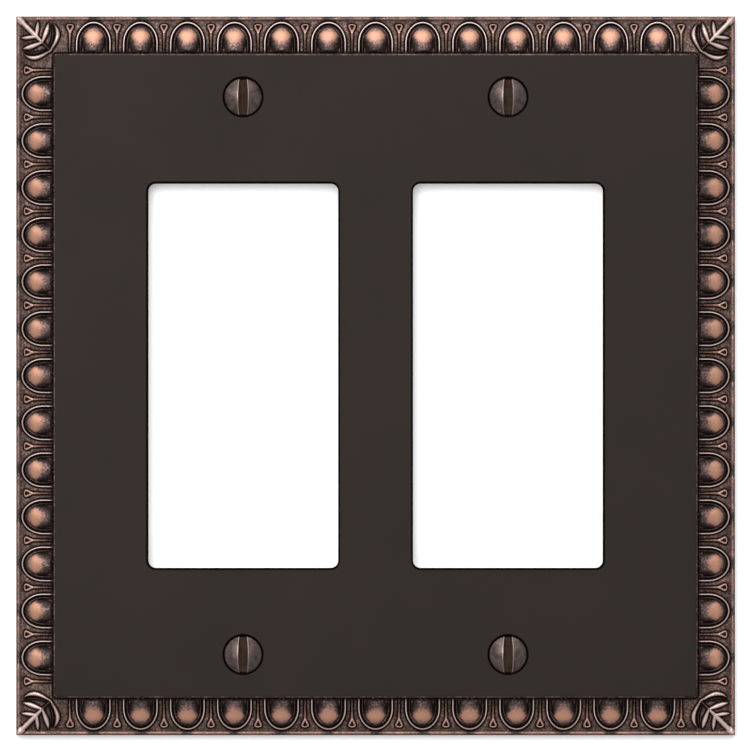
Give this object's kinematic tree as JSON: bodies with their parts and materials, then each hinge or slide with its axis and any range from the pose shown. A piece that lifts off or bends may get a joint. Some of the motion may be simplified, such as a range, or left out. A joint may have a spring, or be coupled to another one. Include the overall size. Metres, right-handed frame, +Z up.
{
  "type": "wall plate cover",
  "caption": "Square cast metal wall plate with side-by-side decorator openings, a raised field and an egg-and-dart border, held by slotted oval-head screws.",
  "frame": {"origin": "centre of the pattern of the four device screws, in the plane of the wall behind the plate", "axes": "+X to the right and +Z up as the plate hangs on the wall; +Y into the wall, so the face looks along -Y"},
  "size_m": [0.125, 0.017, 0.125],
  "materials": {
    "aged_bronze_casting": "dark aged bronze, satin, rubbed back to copper on the raised ornament and dark in its recesses",
    "bronzed_screws": "satin bronzed steel, a little worn on the crown"
  },
  "bodies": {
    "plate": {"cover_plate": "aged_bronze_casting"},
    "screw_top_left": {"screw_top_left": "bronzed_screws"},
    "screw_bottom_left": {"screw_bottom_left": "bronzed_screws"},
    "screw_top_right": {"screw_top_right": "bronzed_screws"},
    "screw_bottom_right": {"screw_bottom_right": "bronzed_screws"}
  },
  "joints": [
    {"name": "screw_top_left_turn", "type": "hinge", "parent": "plate", "child": "screw_top_left", "pos_m": [-0.023, 0, 0.0484], "axis": [0, -1, 0], "continuous": true},
    {"name": "screw_bottom_left_turn", "type": "hinge", "parent": "plate", "child": "screw_bottom_left", "pos_m": [-0.023, 0, -0.0484], "axis": [0, -1, 0], "continuous": true},
    {"name": "screw_top_right_turn", "type": "hinge", "parent": "plate", "child": "screw_top_right", "pos_m": [0.023, 0, 0.0484], "axis": [0, -1, 0], "continuous": true},
    {"name": "screw_bottom_right_turn", "type": "hinge", "parent": "plate", "child": "screw_bottom_right", "pos_m": [0.023, 0, -0.0484], "axis": [0, -1, 0], "continuous": true}
  ]
}
